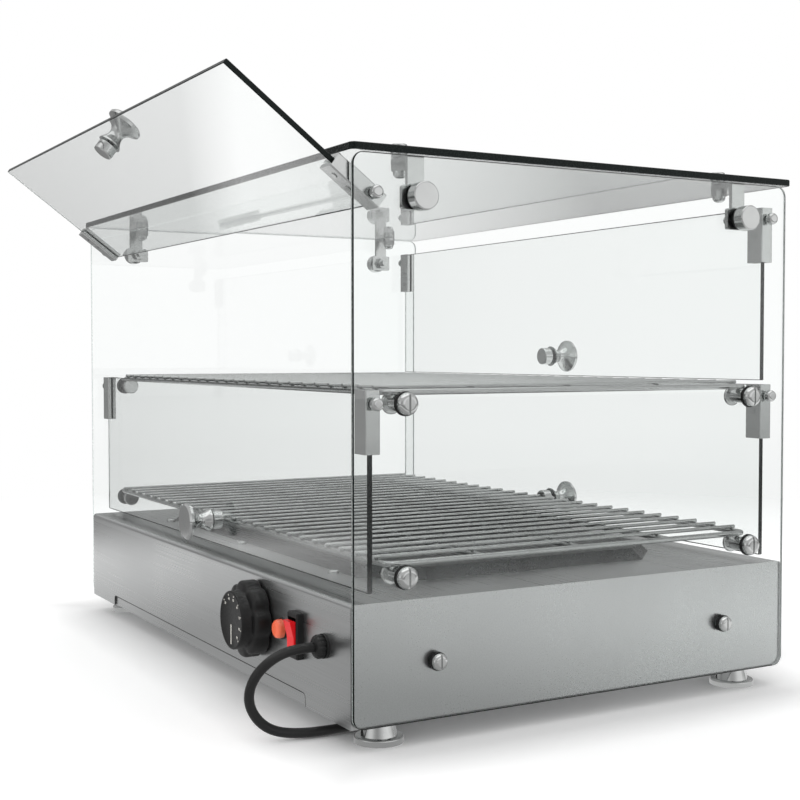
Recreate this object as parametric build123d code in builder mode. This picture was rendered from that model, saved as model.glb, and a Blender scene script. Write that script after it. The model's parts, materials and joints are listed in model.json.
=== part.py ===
from build123d import *
import os
from math import pi, radians, tan

# Two-tier heated food display case: a stainless base with a heater under its deck, glass ends and roof,
# two wire racks and four glass flaps hung from pivot studs. Millimetres. X runs along the case, the
# controls face -Y, and Z = 0 is the surface the case stands on. The upper front flap stands open.

os.makedirs("parts", exist_ok=True)

# ---- overall sizes -------------------------------------------------------------------------------
case_width = 548.0        # over the outer faces of the end glasses
case_depth = 361.0        # end glasses, front to back
case_height = 376.0       # floor to the top of the roof glass
foot_height = 15.0
base_height = 78.0        # stainless base, without its feet

# ---- glass ---------------------------------------------------------------------------------------
glass = 4.0               # end glasses and flaps
roof_glass = 5.0
roof_overhang_x = 3.0
roof_overhang_y = 2.5
glass_corner = 8.0
glass_edge = 0.5          # ground edge
hole_clearance = 0.5      # radial, round every screw and stud through the glass

# ---- flaps and their hinges ----------------------------------------------------------------------
flap_inset = 15.5         # case face to the flap's middle plane
flap_end_gap = 5.0        # end glass to the flap's end
flap_floor_gap = 5.0
flap_gap = 3.0            # between the lower and the upper flap
flap_roof_gap = 16.0
upper_front_opening = 127.0
pivot_drop = 8.5          # flap's top edge down to the pivot
hinge_length = 40.0
hinge_width = 15.5
hinge_depth = 10.4
hinge_slot = 4.4
hinge_web = 2.5
hinge_fillet = 1.0
hinge_gap = 1.0           # hinge to end glass
pin_diameter = 4.0
pin_clearance = 0.1       # radial
stud_diameter = 5.0
stud_head = 8.4
stud_head_height = 4.0
set_screw_diameter = 4.0
set_screw_proud = 0.6
set_screw_drops = (20.0, 32.0)
knob_rise = 17.5          # flap's bottom edge to the knob's axis
knob_diameter = 28.5
knob_reach = 21.0
knob_neck = 5.5           # radius
knob_foot = 9.0           # radius
knob_collar = 1.5
knob_waist = 8.0          # from the glass to the narrowest place
knob_rim = 2.0
knob_chamfer = 1.5
knob_nut_diameter = 15.0
knob_nut_length = 8.0
knob_nut_cap = 2.0        # closed end
knob_nut_fillet = 0.8
knob_stud = 5.0

# ---- base ----------------------------------------------------------------------------------------
sheet = 1.2
lock_gap = 0.2            # a part that drops through a cut-out, each side
base_bend = 3.0
notch_half = 205.5
notch_height = 9.0
notch_corner = 4.0
pan_flange = 26.0
pan_gap = 0.2
vent_length = 60.0
vent_width = 5.0
vent_pitch = 14.0
vent_row_pitch = 110.0
vent_count = 12
foot_diameter = 32.0
foot_rim = 4.5
foot_rim_fillet = 1.2
foot_step = 4.0           # rim to body, radial
foot_taper = 14.0         # degrees
foot_inset_x = 22.0
foot_inset_y = 29.5
foot_stem = 8.0
foot_nut = 13.0           # across flats
foot_nut_height = 6.0
stem_tail = 2.0
side_screw_inset = 59.8
side_screw_z = 40.5       # below the deck
side_screw_head = 11.0
side_screw_height = 4.0
side_screw_slot = 1.2
side_screw_shank = 5.0
side_screw_tail = 6.0
side_nut = 8.0
side_nut_height = 4.0
washer_lip = 0.5          # washer beyond the screw head, radial

# ---- deck and heater -----------------------------------------------------------------------------
plate_length = 430.0
plate_depth = 256.0
plate_height = 8.0
plate_clip = 34.0
plate_slope = 8.0
plate_sheet = 1.5
deck_screw_pitch = 166.0
deck_screw_shift = -8.0
deck_screw_y = 133.5
deck_screw_head = 8.0
deck_screw_height = 2.5
deck_screw_fillet = 1.2
deck_screw_shank = 4.0
deck_screw_length = 8.0
reflector_length = 370.0
reflector_depth = 244.0
reflector_drop = 34.0
reflector_flange = 18.0
saddle_pitch = 100.0
saddle_size = (8.0, 16.0)
element_diameter = 6.5
element_radius = 28.0
element_drop = 18.0
element_tail = 12.0       # beyond the reflector's end
element_end_gap = 20.0
terminal_pin = 4.0
terminal_pin_length = 16.0

# ---- racks and their supports --------------------------------------------------------------------
support_rise = 15.0       # deck to the lower spools
support_inset = 36.0
spool_length = 16.0
spool_neck = 10.0
spool_flange = 14.5
spool_flange_thick = 2.5
support_shank = 5.0
dome_head = 14.5
dome_height = 5.0
dome_slot = 1.4
washer_thick = 2.0
frame_wire = 4.0
cross_wire = 2.8
weld_depth = 0.3
rack_end_gap = 8.0        # end glass to the rack's end wire axis
rack_inset = 29.0
rack_corner = 6.0
rack_wire_pitch = 20.7
rack_end_space = 13.0     # least room between the end wire and the frame's end
rack_overhang = 2.5
rack_bar_y = 79.0

# ---- roof brackets -------------------------------------------------------------------------------
bracket_inset_x = 24.0    # end face to the roof bolt
bracket_inset_y = 45.5
bracket_width = 12.0
bracket_thick = 3.0
bracket_drop = 26.0       # roof's underside to the end glass bolt
paddle_width = 20.0
paddle_height = 15.0
paddle_corner = 1.5
bracket_bolt = 6.0
disc_head = 18.0
disc_height = 9.0
hex_nut = 10.0
hex_nut_height = 5.0
bolt_tail = 4.0
cap_head = 10.5
cap_head_height = 5.0
acorn_height = 9.0

# ---- controls, measured from the right-hand end face ----------------------------------------------
control_drop = 32.0       # deck to the row of controls
knob_from_end = 146.0
lamp_from_end = 103.0
switch_from_end = 79.0
gland_from_end = 40.0
dial_diameter = 41.0
dial_skirt = 54.0
dial_skirt_depth = 12.0
dial_depth = 20.0
dial_gap = 1.0
dial_cap = 5.0            # solid front over the shaft's bore
dial_chamfer = 0.8
dial_scallops = 8
scallop_radius = 8.0
scallop_depth = 2.5
shaft_diameter = 6.0
bush_wall = 1.8
thermostat_size = 34.0
thermostat_depth = 22.0
thermostat_corner = 3.0
lamp_diameter = 14.5
lamp_lip = 1.5            # bezel over the panel, radial
lamp_bezel = 1.5
lamp_depth = 20.0
lens_reach = 5.5
lens_rim = 0.8
lens_fillet = 3.0
rocker_width = 10.5
rocker_height = 22.0
switch_width = 15.0
switch_height = 31.0
switch_proud = 5.0
switch_body_depth = 18.0
switch_lip = (1.0, 1.5)   # bezel over the panel, sideways and up
switch_chamfer = 0.8
rocker_gap = 0.6
gland_diameter = 16.0
gland_reach = 8.0
gland_flange = 2.0
gland_tail = 12.0
gland_lock_nut = 4.0
gland_cap_step = 0.3
gland_fillet = 2.0
cable_diameter = 6.5

# ---- worked out ----------------------------------------------------------------------------------
end_x = case_width / 2
wall_x = end_x - glass
face_y = case_depth / 2
deck_z = foot_height + base_height
roof_z = case_height - roof_glass
control_z = deck_z - control_drop
gland_thread = gland_diameter - 4

flap_y = face_y - flap_inset
flap_half = wall_x - flap_end_gap
flap_height = (roof_z - deck_z - flap_floor_gap - flap_gap - flap_roof_gap) / 2
lower_pivot_z = deck_z + flap_floor_gap + flap_height - pivot_drop
upper_pivot_z = roof_z - flap_roof_gap - pivot_drop
hinge_x = wall_x - hinge_gap

support_y = face_y - support_inset
support_levels = (deck_z + support_rise, lower_pivot_z)
rack_y = face_y - rack_inset
rack_x = wall_x - rack_end_gap
bracket_x = end_x - bracket_inset_x
bracket_y = face_y - bracket_inset_y
paddle_z = roof_z - bracket_drop
side_screw_y = face_y - side_screw_inset
side_screws_z = deck_z - side_screw_z

ends = (-1, 1)
sides = (-1, 1)


def finish(builder, name):
    """Label a finished piece and write it out under its own name."""
    builder.part.label = name
    export_step(builder.part, f"parts/{name}.step")


def facing_x(x, y, z, direction=1):
    """A sketch plane that faces along X, with its own axes along Y and Z."""
    return Plane(origin=(x, y, z), x_dir=(0, direction, 0), z_dir=(direction, 0, 0))


def facing_front(x, y, z):
    """A sketch plane that faces -Y, with its own axes along X and Z."""
    return Plane(origin=(x, y, z), x_dir=(1, 0, 0), z_dir=(0, -1, 0))


# ---- base shell: folded sheet, open below, with a long notch along its front foot ------------------
with BuildPart() as base_shell:
    with BuildSketch(Plane.XY.offset(foot_height)):
        Rectangle(2 * wall_x, case_depth)
    extrude(amount=base_height)
    top_edges = base_shell.edges().filter_by(Axis.X).group_by(Axis.Z)[-1]
    fillet(top_edges, radius=base_bend)
    bottom_face = base_shell.faces().sort_by(Axis.Z)[0]
    offset(amount=-sheet, openings=bottom_face)
    with BuildSketch(facing_front(0, face_y + 1, foot_height)):
        with Locations((0, notch_height / 2 - notch_corner)):
            RectangleRounded(2 * notch_half, notch_height + 2 * notch_corner, notch_corner)
    extrude(amount=case_depth + 2, mode=Mode.SUBTRACT)
    with BuildSketch(facing_front(0, -face_y + 2 * sheet, control_z)):
        with Locations((end_x - knob_from_end, 0)):
            Circle(shaft_diameter / 2 + bush_wall + lock_gap)
        with Locations((end_x - lamp_from_end, 0)):
            Circle(lamp_diameter / 2 - lamp_lip)
        with Locations((end_x - switch_from_end, 0)):
            Rectangle(switch_width - 2 * switch_lip[0], switch_height - 2 * switch_lip[1])
        with Locations((end_x - gland_from_end, 0)):
            Circle(gland_thread / 2)
    extrude(amount=4 * sheet, mode=Mode.SUBTRACT)
    with Locations((deck_screw_shift, 0, deck_z)):
        with GridLocations(deck_screw_pitch, 2 * deck_screw_y, 3, 2):
            Cylinder(deck_screw_shank / 2, 4 * sheet, mode=Mode.SUBTRACT)
    with BuildSketch(facing_x(-end_x, 0, side_screws_z)):
        with GridLocations(2 * side_screw_y, 1, 2, 1):
            Circle(side_screw_shank / 2)
    extrude(amount=case_width, mode=Mode.SUBTRACT)
finish(base_shell, "base_shell")

# ---- bottom pan: tray that closes the base, its flange standing just inside the shell --------------
pan_x = wall_x - sheet - pan_gap
pan_y = face_y - sheet - pan_gap
foot_x = end_x - foot_inset_x
foot_y = face_y - foot_inset_y
with BuildPart() as bottom_pan:
    with BuildSketch(Plane.XY.offset(foot_height)):
        Rectangle(2 * pan_x, 2 * pan_y)
    extrude(amount=pan_flange)
    pan_mouth = bottom_pan.faces().sort_by(Axis.Z)[-1]
    offset(amount=-sheet, openings=pan_mouth)
    with BuildSketch(Plane.XY.offset(foot_height - 1)):
        with GridLocations(2 * foot_x, 2 * foot_y, 2, 2):
            Circle(foot_stem / 2)
        with GridLocations(vent_pitch, vent_row_pitch, vent_count, 2):
            SlotOverall(vent_length, vent_width, rotation=90)
    extrude(amount=sheet + 2, mode=Mode.SUBTRACT)
finish(bottom_pan, "bottom_pan")

# ---- feet: chromed rim disc under a narrower body, with a stem up into the pan ---------------------
with BuildPart() as feet:
    with BuildSketch(Plane.XY):
        with GridLocations(2 * foot_x, 2 * foot_y, 2, 2):
            Circle(foot_diameter / 2)
    extrude(amount=foot_rim)
    fillet(feet.edges().filter_by(GeomType.CIRCLE).group_by(Axis.Z)[-1], radius=foot_rim_fillet)
    with BuildSketch(Plane.XY.offset(foot_rim)):
        with GridLocations(2 * foot_x, 2 * foot_y, 2, 2):
            Circle(foot_diameter / 2 - foot_step)
    extrude(amount=foot_height - foot_rim, taper=foot_taper)
    with BuildSketch(Plane.XY.offset(foot_height)):
        with GridLocations(2 * foot_x, 2 * foot_y, 2, 2):
            Circle(foot_stem / 2)
    extrude(amount=sheet + foot_nut_height + stem_tail)
finish(feet, "feet")

with BuildPart() as foot_nuts:
    with BuildSketch(Plane.XY.offset(foot_height + sheet)):
        with GridLocations(2 * foot_x, 2 * foot_y, 2, 2):
            RegularPolygon(foot_nut / 2, 6, major_radius=False)
            Circle(foot_stem / 2, mode=Mode.SUBTRACT)
    extrude(amount=foot_nut_height)
finish(foot_nuts, "foot_nuts")

# ---- heat plate: raised pressing with clipped corners and sloped sides, open underneath ------------
half_length = plate_length / 2
half_depth = plate_depth / 2


def clipped_outline(inset):
    """Points of a rectangle with clipped corners, moved in by inset."""
    corners = []
    clip = plate_clip - inset * (2 - 2**0.5)
    for sx, sy in ((1, -1), (1, 1), (-1, 1), (-1, -1)):
        along = (sx * (half_length - inset - clip), sy * (half_depth - inset))
        across = (sx * (half_length - inset), sy * (half_depth - inset - clip))
        corners += [along, across] if sx * sy < 0 else [across, along]
    return corners


with BuildPart() as heat_plate:
    with BuildSketch(Plane.XY.offset(deck_z)):
        Polygon(*clipped_outline(0), align=None)
    with BuildSketch(Plane.XY.offset(deck_z + plate_height)):
        Polygon(*clipped_outline(plate_slope), align=None)
    loft()
    with BuildSketch(Plane.XY.offset(deck_z)):
        Polygon(*clipped_outline(2 * plate_sheet), align=None)
    with BuildSketch(Plane.XY.offset(deck_z + plate_height - plate_sheet)):
        Polygon(*clipped_outline(2 * plate_sheet + plate_slope), align=None)
    loft(mode=Mode.SUBTRACT)
finish(heat_plate, "heat_plate")

# ---- deck screws: pan heads on the deck, shanks down through the heater's reflector ---------------
deck_screw_locations = [
    (deck_screw_shift + column * deck_screw_pitch, row * deck_screw_y, deck_z)
    for column in (-1, 0, 1) for row in sides
]
with BuildPart() as deck_screws:
    with Locations(*deck_screw_locations):
        Cylinder(deck_screw_head / 2, deck_screw_height, align=(Align.CENTER, Align.CENTER, Align.MIN))
    fillet(deck_screws.edges().filter_by(GeomType.CIRCLE).group_by(Axis.Z)[-1], radius=deck_screw_fillet)
    with Locations(*deck_screw_locations):
        Cylinder(deck_screw_shank / 2, deck_screw_length, align=(Align.CENTER, Align.CENTER, Align.MAX))
finish(deck_screws, "deck_screws")

# ---- reflector: shallow tray hung under the deck by the deck screws, with saddles for the element --
under_deck = deck_z - sheet
reflector_z = under_deck - reflector_drop
element_z = under_deck - element_drop
lane = 2 * element_radius
saddle_height = element_z - element_diameter / 2 - reflector_z - sheet
saddle_places = [(deck_screw_shift + x * saddle_pitch, y) for x in (-1, 0, 1) for y in (-lane, lane)]
with BuildPart() as reflector:
    with BuildSketch(Plane.XY.offset(reflector_z)):
        with Locations((deck_screw_shift, 0)):
            Rectangle(reflector_length, reflector_depth)
    extrude(amount=reflector_drop)
    reflector_mouth = reflector.faces().sort_by(Axis.Z)[-1]
    offset(amount=-sheet, openings=reflector_mouth)
    with BuildSketch(Plane.XY.offset(reflector_z + sheet)):
        with Locations(*saddle_places):
            Rectangle(*saddle_size)
    extrude(amount=saddle_height)
    with BuildSketch(Plane.XY.offset(under_deck - sheet)):
        with Locations((deck_screw_shift, 0)):
            Rectangle(reflector_length, reflector_depth + 2 * reflector_flange)
            Rectangle(reflector_length - 2 * sheet, reflector_depth - 2 * sheet, mode=Mode.SUBTRACT)
    extrude(amount=sheet)
    with Locations(*deck_screw_locations):
        Cylinder(deck_screw_shank / 2, deck_screw_length, mode=Mode.SUBTRACT)
    with BuildSketch(facing_x(0, 0, element_z)):
        with GridLocations(2 * lane, 1, 2, 1):
            Circle(element_diameter / 2)
    extrude(amount=end_x, mode=Mode.SUBTRACT)
finish(reflector, "heat_reflector")

# ---- heating element: one tube bent into two long loops, its two ends through the reflector --------
element_start = deck_screw_shift + reflector_length / 2 + element_tail
element_far = deck_screw_shift - reflector_length / 2 + element_end_gap
with BuildPart() as heating_element:
    with BuildLine() as element_path:
        FilletPolyline(
            (element_start, -lane, element_z),
            (element_far, -lane, element_z),
            (element_far, lane, element_z),
            (element_start, lane, element_z),
            radius=element_radius * 1.5,
        )
    with BuildSketch(Plane(origin=element_path.line @ 0, z_dir=element_path.line % 0)):
        Circle(element_diameter / 2)
    sweep()
    with Locations((element_start, -lane, element_z), (element_start, lane, element_z)):
        Cylinder(terminal_pin / 2, terminal_pin_length, rotation=(0, 90, 0))
finish(heating_element, "heating_element")

# ---- end glasses ---------------------------------------------------------------------------------
pivot_points = [(side * flap_y, z) for side in sides for z in (lower_pivot_z, upper_pivot_z)]
support_points = [(side * support_y, z) for side in sides for z in support_levels]
for end, name in zip(ends, ("end_glass_left", "end_glass_right")):
    with BuildPart() as end_glass:
        with BuildSketch(facing_x(end * wall_x, 0, 0, end)) as glass_sketch:
            with Locations((0, foot_height)):
                Rectangle(case_depth, roof_z - foot_height, align=(Align.CENTER, Align.MIN))
            fillet(glass_sketch.vertices().group_by(Axis.Z)[-1], radius=glass_corner)
        extrude(amount=glass)
        outline = end_glass.faces().filter_by(Axis.X).edges()
        chamfer(outline, length=glass_edge)
        with BuildSketch(facing_x(end * wall_x, 0, 0, end)):
            with Locations(*pivot_points):
                Circle(stud_diameter / 2 + hole_clearance)
            with Locations(*support_points):
                Circle(support_shank / 2 + hole_clearance)
            with Locations((-bracket_y, paddle_z), (bracket_y, paddle_z)):
                Circle(bracket_bolt / 2 + hole_clearance)
            with Locations((-side_screw_y, side_screws_z), (side_screw_y, side_screws_z)):
                Circle(side_screw_shank / 2 + hole_clearance)
        extrude(amount=glass, mode=Mode.SUBTRACT)
    finish(end_glass, name)

# ---- roof glass ----------------------------------------------------------------------------------
roof_length = case_width + 2 * roof_overhang_x
roof_depth = case_depth + 2 * roof_overhang_y
with BuildPart() as roof:
    with BuildSketch(Plane.XY.offset(roof_z)):
        RectangleRounded(roof_length, roof_depth, glass_corner / 2)
    extrude(amount=roof_glass)
    chamfer(roof.faces().filter_by(Axis.Z).edges(), length=glass_edge)
    with BuildSketch(Plane.XY.offset(roof_z)):
        with GridLocations(2 * bracket_x, 2 * bracket_y, 2, 2):
            Circle(bracket_bolt / 2 + hole_clearance)
    extrude(amount=roof_glass, mode=Mode.SUBTRACT)
finish(roof, "roof_glass")

# ---- roof brackets: bent strap, one leg under the roof and one down the end glass to a paddle ------
strap_reach = wall_x - bracket_x
with BuildPart() as brackets:
    for end in ends:
        for side in sides:
            with BuildSketch(facing_x(end * (wall_x - bracket_thick), side * bracket_y, 0, end)):
                with Locations((0, (roof_z + paddle_z) / 2)):
                    Rectangle(bracket_width, roof_z - paddle_z)
                with Locations((0, paddle_z)):
                    RectangleRounded(paddle_width, paddle_height, paddle_corner)
                    Circle(bracket_bolt / 2, mode=Mode.SUBTRACT)
            extrude(amount=bracket_thick)
            with BuildSketch(Plane.XY.offset(roof_z - bracket_thick)):
                with Locations((end * wall_x, side * bracket_y)):
                    strap_align = Align.MAX if end > 0 else Align.MIN
                    Rectangle(strap_reach, bracket_width, align=(strap_align, Align.CENTER))
                with Locations((end * bracket_x, side * bracket_y)):
                    Circle(bracket_width / 2)
                    Circle(bracket_bolt / 2, mode=Mode.SUBTRACT)
            extrude(amount=bracket_thick)
finish(brackets, "roof_brackets")

# ---- bracket bolts through the end glasses ---------------------------------------------------------
with BuildPart() as bracket_bolts:
    for end in ends:
        for side in sides:
            with BuildSketch(facing_x(end * (end_x + washer_thick), side * bracket_y, paddle_z, end)):
                Circle(disc_head / 2)
            extrude(amount=disc_height)
            inner_tip = end * (wall_x - bracket_thick - hex_nut_height - bolt_tail)
            shank_length = end_x + washer_thick - abs(inner_tip)
            with BuildSketch(facing_x(inner_tip, side * bracket_y, paddle_z, end)):
                Circle(bracket_bolt / 2)
            extrude(amount=shank_length)
    head_rims = bracket_bolts.edges().filter_by(GeomType.CIRCLE).filter_by(
        lambda rim: abs(rim.radius - disc_head / 2) < 0.01
    )
    fillet(head_rims, radius=1.0)
finish(bracket_bolts, "bracket_bolts")

with BuildPart() as bracket_washers:
    for end in ends:
        with BuildSketch(facing_x(end * end_x, 0, paddle_z, end)):
            with Locations((-bracket_y, 0), (bracket_y, 0)):
                Circle(disc_head / 2 - 1)
                Circle(bracket_bolt / 2, mode=Mode.SUBTRACT)
        extrude(amount=washer_thick)
finish(bracket_washers, "bracket_washers")

with BuildPart() as bracket_nuts:
    for end in ends:
        nut_x = end * (wall_x - bracket_thick - hex_nut_height)
        with BuildSketch(facing_x(nut_x, 0, paddle_z, end)):
            with Locations((-bracket_y, 0), (bracket_y, 0)):
                RegularPolygon(hex_nut / 2, 6, major_radius=False)
                Circle(bracket_bolt / 2, mode=Mode.SUBTRACT)
        extrude(amount=hex_nut_height)
finish(bracket_nuts, "bracket_nuts")

# ---- roof screws and the acorn nuts under them ------------------------------------------------------
acorn_bore_depth = 6.0
with BuildPart() as roof_screws:
    with Locations(Plane.XY.offset(case_height)):
        with GridLocations(2 * bracket_x, 2 * bracket_y, 2, 2):
            Cylinder(cap_head / 2, cap_head_height, align=(Align.CENTER, Align.CENTER, Align.MIN))
    fillet(roof_screws.edges().filter_by(GeomType.CIRCLE).group_by(Axis.Z)[-1], radius=0.8)
    with Locations(Plane.XY.offset(case_height)):
        with GridLocations(2 * bracket_x, 2 * bracket_y, 2, 2):
            shank = roof_glass + bracket_thick + acorn_bore_depth
            Cylinder(bracket_bolt / 2, shank, align=(Align.CENTER, Align.CENTER, Align.MAX))
finish(roof_screws, "roof_screws")

acorn_top = roof_z - bracket_thick
with BuildPart() as acorn_nuts:
    with BuildSketch(Plane.XY.offset(acorn_top - acorn_height / 2)):
        with GridLocations(2 * bracket_x, 2 * bracket_y, 2, 2):
            RegularPolygon(hex_nut / 2, 6, major_radius=False)
    extrude(amount=acorn_height / 2)
    with BuildSketch(Plane.XY.offset(acorn_top - acorn_height)):
        with GridLocations(2 * bracket_x, 2 * bracket_y, 2, 2):
            Circle(hex_nut / 2 - 0.3)
    extrude(amount=acorn_height / 2)
    fillet(acorn_nuts.edges().group_by(Axis.Z)[0], radius=3.4)
    with BuildSketch(Plane.XY.offset(acorn_top - acorn_bore_depth)):
        with GridLocations(2 * bracket_x, 2 * bracket_y, 2, 2):
            Circle(bracket_bolt / 2)
    extrude(amount=acorn_bore_depth, mode=Mode.SUBTRACT)
finish(acorn_nuts, "acorn_nuts")

# ---- rack supports: flanged spools inside, washers and slotted dome heads outside ------------------
neck_end = wall_x - spool_length + spool_flange_thick
with BuildPart() as spools:
    for end in ends:
        with BuildSketch(facing_x(end * (wall_x - spool_length), 0, 0, end)):
            with Locations(*support_points):
                Circle(spool_flange / 2)
        extrude(amount=spool_flange_thick)
        with BuildSketch(facing_x(end * neck_end, 0, 0, end)):
            with Locations(*support_points):
                Circle(spool_neck / 2)
        extrude(amount=wall_x - neck_end)
    flange_rims = spools.edges().filter_by(GeomType.CIRCLE).filter_by(
        lambda rim: abs(rim.radius - spool_flange / 2) < 0.01
    )
    fillet(flange_rims, radius=0.8)
    for end in ends:
        with BuildSketch(facing_x(end * (wall_x - spool_length), 0, 0, end)):
            with Locations(*support_points):
                Circle(support_shank / 2)
        extrude(amount=spool_length, mode=Mode.SUBTRACT)
finish(spools, "rack_supports")


def slotted_domes(points, plane_x, diameter, height, shank_diameter, shank_length, slot):
    """Slotted dome heads that face outwards at both ends, each with its shank behind it."""
    with BuildPart() as domes:
        for end in ends:
            with BuildSketch(facing_x(end * plane_x, 0, 0, end)):
                with Locations(*points):
                    Circle(diameter / 2)
            extrude(amount=height)
        crowns = domes.edges().filter_by(GeomType.CIRCLE).filter_by(
            lambda rim: abs(rim.center().X) > plane_x + height / 2
        )
        fillet(crowns, radius=height * 0.7)
        for end in ends:
            with BuildSketch(facing_x(end * (plane_x + height - slot), 0, 0, end)):
                with Locations(*points):
                    Rectangle(slot, diameter)
            extrude(amount=slot, mode=Mode.SUBTRACT)
            with BuildSketch(facing_x(end * (plane_x - shank_length), 0, 0, end)):
                with Locations(*points):
                    Circle(shank_diameter / 2)
            extrude(amount=shank_length)
    return domes


screw_face = end_x + washer_thick
support_screws = slotted_domes(
    support_points, screw_face, dome_head, dome_height, support_shank,
    washer_thick + glass + spool_length, dome_slot,
)
finish(support_screws, "support_screws")

with BuildPart() as support_washers:
    for end in ends:
        with BuildSketch(facing_x(end * end_x, 0, 0, end)):
            with Locations(*support_points):
                Circle(dome_head / 2 + washer_lip)
                Circle(support_shank / 2, mode=Mode.SUBTRACT)
        extrude(amount=washer_thick)
finish(support_washers, "support_washers")

# ---- screws and washers that hold the end glasses to the base --------------------------------------
side_points = [(side * side_screw_y, side_screws_z) for side in sides]
side_screws = slotted_domes(
    side_points, screw_face, side_screw_head, side_screw_height, side_screw_shank,
    washer_thick + glass + sheet + side_screw_tail, side_screw_slot,
)
finish(side_screws, "side_screws")

with BuildPart() as side_washers:
    for end in ends:
        with BuildSketch(facing_x(end * end_x, 0, 0, end)):
            with Locations(*side_points):
                Circle(side_screw_head / 2 + washer_lip)
                Circle(side_screw_shank / 2, mode=Mode.SUBTRACT)
        extrude(amount=washer_thick)
finish(side_washers, "side_washers")

with BuildPart() as side_nuts:
    for end in ends:
        with BuildSketch(facing_x(end * (wall_x - sheet - side_nut_height), 0, 0, end)):
            with Locations(*side_points):
                RegularPolygon(side_nut / 2, 6, major_radius=False)
                Circle(side_screw_shank / 2, mode=Mode.SUBTRACT)
        extrude(amount=side_nut_height)
finish(side_nuts, "side_nuts")

# ---- racks: a wire frame, three bars along it and cross wires welded on top -----------------------
rack_wire_count = int(2 * (rack_x - rack_end_space) / rack_wire_pitch) + 1
cross_rise = (frame_wire + cross_wire) / 2 - weld_depth
side_run = 2 * (rack_x - rack_corner)
end_run = 2 * (rack_y - rack_corner)
corner_turns = ((1, -1, -90), (1, 1, 0), (-1, 1, 90), (-1, -1, 180))
for support_level, name in zip(support_levels, ("lower_rack", "upper_rack")):
    rack_z = support_level + spool_neck / 2 + frame_wire / 2
    with BuildPart() as rack:
        with Locations((0, 0, rack_z)):
            with GridLocations(1, 2 * rack_y, 1, 2):
                Cylinder(frame_wire / 2, side_run, rotation=(0, 90, 0))
            with GridLocations(2 * rack_x, 1, 2, 1):
                Cylinder(frame_wire / 2, end_run, rotation=(90, 0, 0))
        for x_sign, y_sign, turn in corner_turns:
            bend = (x_sign * (rack_x - rack_corner), y_sign * (rack_y - rack_corner), rack_z)
            outward = Vector(1, 0, 0).rotate(Axis.Z, turn)
            start = Vector(0, -1, 0).rotate(Axis.Z, turn)
            with BuildSketch(Plane(origin=bend, x_dir=outward, z_dir=start)):
                with Locations((rack_corner, 0)):
                    Circle(frame_wire / 2)
            revolve(axis=Axis(bend, (0, 0, 1)), revolution_arc=90)
        with Locations((0, 0, rack_z)):
            with GridLocations(1, rack_bar_y, 1, 3):
                Cylinder(frame_wire / 2, 2 * rack_x, rotation=(0, 90, 0))
        with Locations((0, 0, rack_z + cross_rise)):
            with GridLocations(rack_wire_pitch, 1, rack_wire_count, 1):
                Cylinder(cross_wire / 2, 2 * (rack_y + rack_overhang), rotation=(90, 0, 0))
    finish(rack, name)

# ---- pivot studs: heads outside the end glasses, pins into the hinges ------------------------------
pin_tip = hinge_x - hinge_web
with BuildPart() as pivot_studs:
    for end in ends:
        with BuildSketch(facing_x(end * pin_tip, 0, 0, end)):
            with Locations(*pivot_points):
                Circle(pin_diameter / 2)
        extrude(amount=wall_x - pin_tip)
        with BuildSketch(facing_x(end * wall_x, 0, 0, end)):
            with Locations(*pivot_points):
                Circle(stud_diameter / 2)
        extrude(amount=glass)
        with BuildSketch(facing_x(end * end_x, 0, 0, end)):
            with Locations(*pivot_points):
                Circle(stud_head / 2)
        extrude(amount=stud_head_height)
    stud_crowns = pivot_studs.edges().filter_by(GeomType.CIRCLE).filter_by(
        lambda rim: abs(rim.center().X) > end_x + stud_head_height / 2
    )
    fillet(stud_crowns, radius=stud_head_height / 2)
finish(pivot_studs, "pivot_studs")


# ---- flaps ---------------------------------------------------------------------------------------
def flap_plane(side, pivot_z, opening):
    """The flap's own frame: origin on its pivot axis, Y up the flap, Z out of its outer face."""
    outward = Vector(0, side, 0).rotate(Axis.X, side * opening)
    return Plane(origin=(0, side * flap_y, pivot_z), x_dir=(-side, 0, 0), z_dir=outward)


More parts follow.
